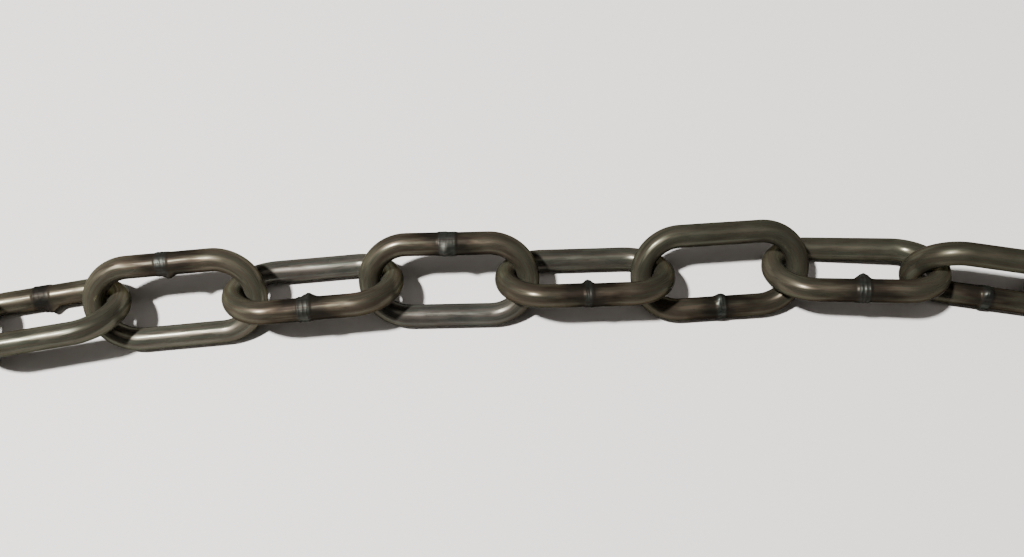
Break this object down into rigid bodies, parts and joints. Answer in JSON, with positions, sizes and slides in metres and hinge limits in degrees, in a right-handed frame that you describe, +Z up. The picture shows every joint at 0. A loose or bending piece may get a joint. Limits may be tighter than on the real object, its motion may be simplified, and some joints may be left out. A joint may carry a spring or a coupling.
{
  "type": "welded link chain",
  "caption": "Round-wire steel chain of butt-welded oval links, lying pulled straight; the links roll on one another and any eye takes a hook or shackle.",
  "frame": {"origin": "on the floor under the middle of the chain's box", "axes": "+X along the chain to the right, +Y to the far side, +Z up"},
  "size_m": [0.999, 0.056, 0.0263],
  "materials": {
    "steel": "bare drawn steel wire with a thin brown-black oxide, bronze heat tint beside each weld"
  },
  "bodies": {
    "link_01": {"link_01": "steel"},
    "link_02": {"link_02": "steel"},
    "link_03": {"link_03": "steel"},
    "link_04": {"link_04": "steel"},
    "link_05": {"link_05": "steel"},
    "link_06": {"link_06": "steel"},
    "link_07": {"link_07": "steel"},
    "link_08": {"link_08": "steel"},
    "link_09": {"link_09": "steel"},
    "link_10": {"link_10": "steel"},
    "link_11": {"link_11": "steel"},
    "link_12": {"link_12": "steel"},
    "link_13": {"link_13": "steel"},
    "link_14": {"link_14": "steel"},
    "link_15": {"link_15": "steel"},
    "link_16": {"link_16": "steel"},
    "link_17": {"link_17": "steel"},
    "link_18": {"link_18": "steel"},
    "link_19": {"link_19": "steel"},
    "link_20": {"link_20": "steel"},
    "link_21": {"link_21": "steel"},
    "link_22": {"link_22": "steel"},
    "link_23": {"link_23": "steel"},
    "link_24": {"link_24": "steel"},
    "link_25": {"link_25": "steel"},
    "link_26": {"link_26": "steel"},
    "link_27": {"link_27": "steel"},
    "link_28": {"link_28": "steel"}
  },
  "joints": [
    {"name": "roll_01", "type": "hinge", "parent": "link_02", "child": "link_01", "pos_m": [-0.46097, -0.01693, 0.00958], "axis": [-0.01, 0.766, 0.6428], "range_deg": [-90, 90]},
    {"name": "roll_02", "type": "hinge", "parent": "link_03", "child": "link_02", "pos_m": [-0.42558, -0.01648, 0.00944], "axis": [0.0134, -0.7659, 0.6428], "range_deg": [-90, 90]},
    {"name": "roll_03", "type": "hinge", "parent": "link_04", "child": "link_03", "pos_m": [-0.39019, -0.01588, 0.00944], "axis": [0.0178, -0.7658, -0.6428], "range_deg": [-90, 90]},
    {"name": "roll_04", "type": "hinge", "parent": "link_05", "child": "link_04", "pos_m": [-0.35481, -0.01508, 0.00958], "axis": [-0.0238, 0.7657, -0.6428], "range_deg": [-90, 90]},
    {"name": "roll_05", "type": "hinge", "parent": "link_06", "child": "link_05", "pos_m": [-0.31944, -0.01401, 0.00958], "axis": [-0.0317, 0.7654, 0.6428], "range_deg": [-90, 90]},
    {"name": "roll_06", "type": "hinge", "parent": "link_07", "child": "link_06", "pos_m": [-0.28407, -0.01258, 0.00944], "axis": [0.0423, -0.7649, 0.6428], "range_deg": [-90, 90]},
    {"name": "roll_07", "type": "hinge", "parent": "link_08", "child": "link_07", "pos_m": [-0.24873, -0.01068, 0.00944], "axis": [0.0563, -0.764, -0.6428], "range_deg": [-90, 90]},
    {"name": "roll_08", "type": "hinge", "parent": "link_09", "child": "link_08", "pos_m": [-0.21342, -0.00815, 0.00958], "axis": [-0.0751, 0.7624, -0.6428], "range_deg": [-90, 90]},
    {"name": "roll_09", "type": "hinge", "parent": "link_10", "child": "link_09", "pos_m": [-0.17819, -0.00477, 0.00958], "axis": [-0.1, 0.7595, 0.6428], "range_deg": [-90, 90]},
    {"name": "roll_10", "type": "hinge", "parent": "link_11", "child": "link_10", "pos_m": [-0.14308, -0.00028, 0.00942], "axis": [0.1374, -0.7792, 0.6115], "range_deg": [-90, 90]},
    {"name": "roll_11", "type": "hinge", "parent": "link_12", "child": "link_11", "pos_m": [-0.10824, 0.00592, 0.00952], "axis": [0.0718, -0.7455, -0.6626], "range_deg": [-90, 90]},
    {"name": "roll_12", "type": "hinge", "parent": "link_13", "child": "link_12", "pos_m": [-0.07303, 0.00945, 0.00951], "axis": [-0.0713, 0.7683, -0.6361], "range_deg": [-90, 90]},
    {"name": "roll_13", "type": "hinge", "parent": "link_14", "child": "link_13", "pos_m": [-0.0378, 0.01284, 0.00961], "axis": [-0.0153, 0.7312, 0.682], "range_deg": [-90, 90]},
    {"name": "roll_15", "type": "hinge", "parent": "link_14", "child": "link_15", "pos_m": [0.00418, 0.01385, 0.00984], "axis": [-0.0153, 0.7312, 0.682], "range_deg": [-90, 90]},
    {"name": "roll_16", "type": "hinge", "parent": "link_15", "child": "link_16", "pos_m": [0.03956, 0.01498, 0.00964], "axis": [-0.0217, 0.731, -0.682], "range_deg": [-90, 90]},
    {"name": "roll_17", "type": "hinge", "parent": "link_16", "child": "link_17", "pos_m": [0.07482, 0.01725, 0.00903], "axis": [0.0536, -0.7862, -0.6157], "range_deg": [-90, 90]},
    {"name": "roll_18", "type": "hinge", "parent": "link_17", "child": "link_18", "pos_m": [0.10971, 0.01483, 0.01269], "axis": [-0.1029, -0.7942, 0.5988], "range_deg": [-50, 15]},
    {"name": "roll_19", "type": "hinge", "parent": "link_18", "child": "link_19", "pos_m": [0.14386, 0.00942, 0.01257], "axis": [0.02, 0.129, 0.9914], "range_deg": [-35, 20]},
    {"name": "roll_20", "type": "hinge", "parent": "link_19", "child": "link_20", "pos_m": [0.17818, 0.00575, 0.00892], "axis": [0.0246, 0.7683, -0.6396], "range_deg": [-55, 90]},
    {"name": "roll_21", "type": "hinge", "parent": "link_20", "child": "link_21", "pos_m": [0.21337, 0.00278, 0.00958], "axis": [-0.0661, -0.7632, -0.6428], "range_deg": [-90, 90]},
    {"name": "roll_22", "type": "hinge", "parent": "link_21", "child": "link_22", "pos_m": [0.24869, 0.00055, 0.00958], "axis": [-0.0496, -0.7644, 0.6428], "range_deg": [-90, 90]},
    {"name": "roll_23", "type": "hinge", "parent": "link_22", "child": "link_23", "pos_m": [0.28405, -0.00112, 0.00944], "axis": [0.0372, 0.7651, 0.6428], "range_deg": [-90, 90]},
    {"name": "roll_24", "type": "hinge", "parent": "link_23", "child": "link_24", "pos_m": [0.31942, -0.00237, 0.00944], "axis": [0.0279, 0.7655, -0.6428], "range_deg": [-90, 90]},
    {"name": "roll_25", "type": "hinge", "parent": "link_24", "child": "link_25", "pos_m": [0.3548, -0.00331, 0.00958], "axis": [-0.0209, -0.7658, -0.6428], "range_deg": [-90, 90]},
    {"name": "roll_26", "type": "hinge", "parent": "link_25", "child": "link_26", "pos_m": [0.39018, -0.00402, 0.00958], "axis": [-0.0157, -0.7659, 0.6428], "range_deg": [-90, 90]},
    {"name": "roll_27", "type": "hinge", "parent": "link_26", "child": "link_27", "pos_m": [0.42557, -0.00455, 0.00944], "axis": [0.0118, 0.766, 0.6428], "range_deg": [-90, 90]},
    {"name": "roll_28", "type": "hinge", "parent": "link_27", "child": "link_28", "pos_m": [0.46097, -0.00495, 0.00944], "axis": [0.0088, 0.766, -0.6428], "range_deg": [-90, 90]}
  ]
}
